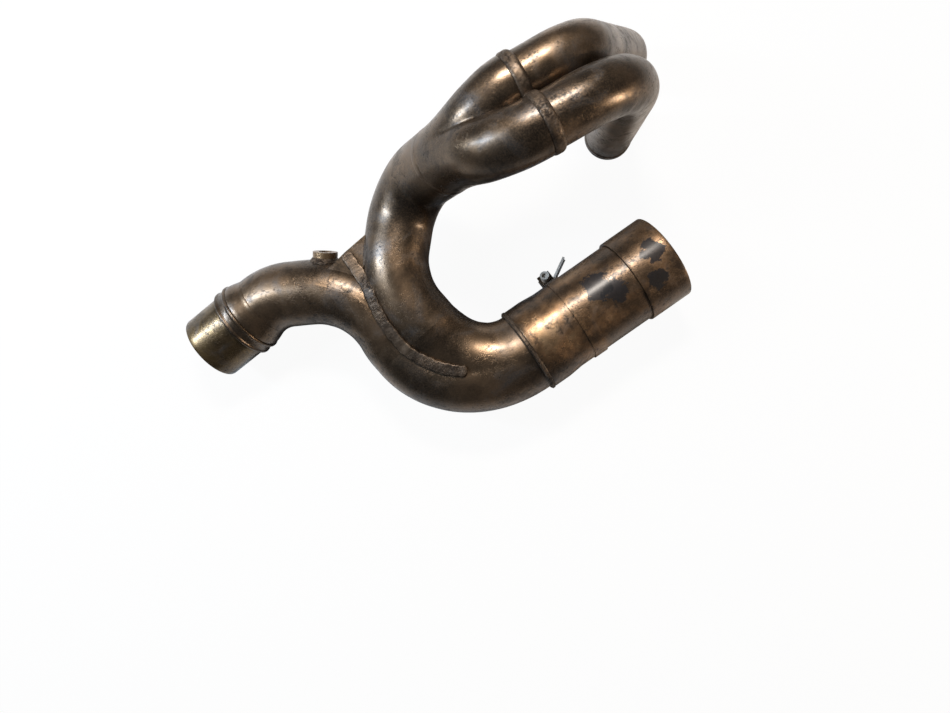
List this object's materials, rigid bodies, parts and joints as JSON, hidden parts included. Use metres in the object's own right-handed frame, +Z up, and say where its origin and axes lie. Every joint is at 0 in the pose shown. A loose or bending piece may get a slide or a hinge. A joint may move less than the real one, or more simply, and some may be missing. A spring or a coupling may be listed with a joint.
{
  "type": "motorcycle exhaust header",
  "caption": "Welded exhaust header that joins a curved side branch and paired upper primaries into a single round outlet sleeve.",
  "frame": {"origin": "middle of the outlet sleeve's open end", "axes": "+X along the outlet sleeve, the way the gas leaves; +Z up, with the legs, the outlet sleeve and the inlet end standing on a plane below; +Y toward the upper primaries"},
  "size_m": [0.4238, 0.2131, 0.1766],
  "materials": {
    "sleeve_steel": "satin, heat tinted brown with dark soot patches",
    "tube_steel": "satin, heat tinted brown and bronze",
    "pressed_steel": "satin, heat tinted bronze, pitted",
    "weld_steel": "rough weld bead, dark grey",
    "clamp_steel": "satin, tarnished",
    "bright_steel": "satin, light grey",
    "socket_steel": "satin, olive brown heat tint"
  },
  "bodies": {
    "root": {"outlet_sleeve": "sleeve_steel", "mid_sleeve": "sleeve_steel", "merge_ring": "weld_steel", "clamp_band": "clamp_steel", "hook_tab": "bright_steel", "clamp_screw": "bright_steel", "clamp_nut": "clamp_steel", "merge_shell": "pressed_steel", "main_bend": "tube_steel", "neck_weld": "weld_steel", "y_collector": "pressed_steel", "collar_band": "weld_steel", "front_primary": "tube_steel", "rear_primary": "tube_steel", "front_leg_ring": "clamp_steel", "rear_leg_ring": "clamp_steel", "branch_tube": "tube_steel", "branch_bell": "tube_steel", "inlet_swage": "tube_steel", "inlet_socket": "socket_steel", "sensor_boss": "clamp_steel", "boss_weld": "weld_steel", "crotch_web": "tube_steel", "seam_weld": "weld_steel"}
  },
  "joints": []
}
